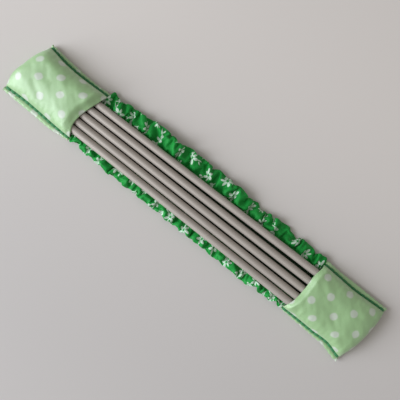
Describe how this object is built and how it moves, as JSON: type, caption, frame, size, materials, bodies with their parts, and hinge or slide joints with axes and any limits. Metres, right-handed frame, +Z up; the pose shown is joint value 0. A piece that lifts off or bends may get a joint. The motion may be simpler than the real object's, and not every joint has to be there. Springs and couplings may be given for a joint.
{
  "type": "knitting needle case",
  "caption": "Soft case for double-pointed knitting needles: two dotted cotton pockets joined by a gathered elastic strip, with the set of needles in it.",
  "frame": {"origin": "under the middle of the case, on the surface that it lies on", "axes": "+X along the case from the left pocket to the right one, +Y across it towards the edge with the higher frill, +Z up"},
  "size_m": [0.213, 0.0348, 0.0095],
  "materials": {
    "dotted_cotton": "light green cotton with white dots",
    "printed_cotton": "green cotton with a small white floral print, gathered",
    "lining_cotton": "plain pale green cotton",
    "elastic": "white ribbed elastic",
    "thread": "dark green thread",
    "needle_metal": "satin grey anodised"
  },
  "bodies": {
    "strip": {"ruched_cover": "printed_cotton", "elastic_band": "elastic"},
    "left_pocket": {"left_front_panel": "dotted_cotton", "left_back_panel": "dotted_cotton", "left_lining": "lining_cotton", "left_near_stitching": "thread", "left_far_stitching": "thread", "left_anchor_stitching": "thread"},
    "right_pocket": {"right_front_panel": "dotted_cotton", "right_back_panel": "dotted_cotton", "right_lining": "lining_cotton", "right_near_stitching": "thread", "right_far_stitching": "thread", "right_anchor_stitching": "thread"},
    "needle_1": {"needle_1": "needle_metal"},
    "needle_2": {"needle_2": "needle_metal"},
    "needle_3": {"needle_3": "needle_metal"},
    "needle_4": {"needle_4": "needle_metal"},
    "needle_5": {"needle_5": "needle_metal"}
  },
  "joints": [
    {"name": "left_pocket_pull", "type": "slide", "parent": "strip", "child": "left_pocket", "axis": [-1, 0, 0], "range_m": [0, 0.038], "stiffness_N_per_m": 200, "deforming": ["ruched_cover", "elastic_band"]},
    {"name": "right_pocket_pull", "type": "slide", "parent": "strip", "child": "right_pocket", "axis": [1, 0, 0], "range_m": [0, 0.038], "stiffness_N_per_m": 200, "deforming": ["ruched_cover", "elastic_band"]},
    {"name": "needle_1_slide", "type": "slide", "parent": "strip", "child": "needle_1", "axis": [1, 0.0042, 0], "range_m": [-0.0025, 0.0025]},
    {"name": "needle_2_slide", "type": "slide", "parent": "strip", "child": "needle_2", "axis": [1, 0.006, 0], "range_m": [-0.0025, 0.0025]},
    {"name": "needle_3_slide", "type": "slide", "parent": "strip", "child": "needle_3", "axis": [1, 0.0095, 0], "range_m": [-0.0025, 0.0025]},
    {"name": "needle_4_slide", "type": "slide", "parent": "strip", "child": "needle_4", "axis": [0.9999, 0.0147, 0], "range_m": [-0.0025, 0.0025]},
    {"name": "needle_5_slide", "type": "slide", "parent": "strip", "child": "needle_5", "axis": [0.9998, 0.0217, 0], "range_m": [-0.0025, 0.0025]}
  ]
}
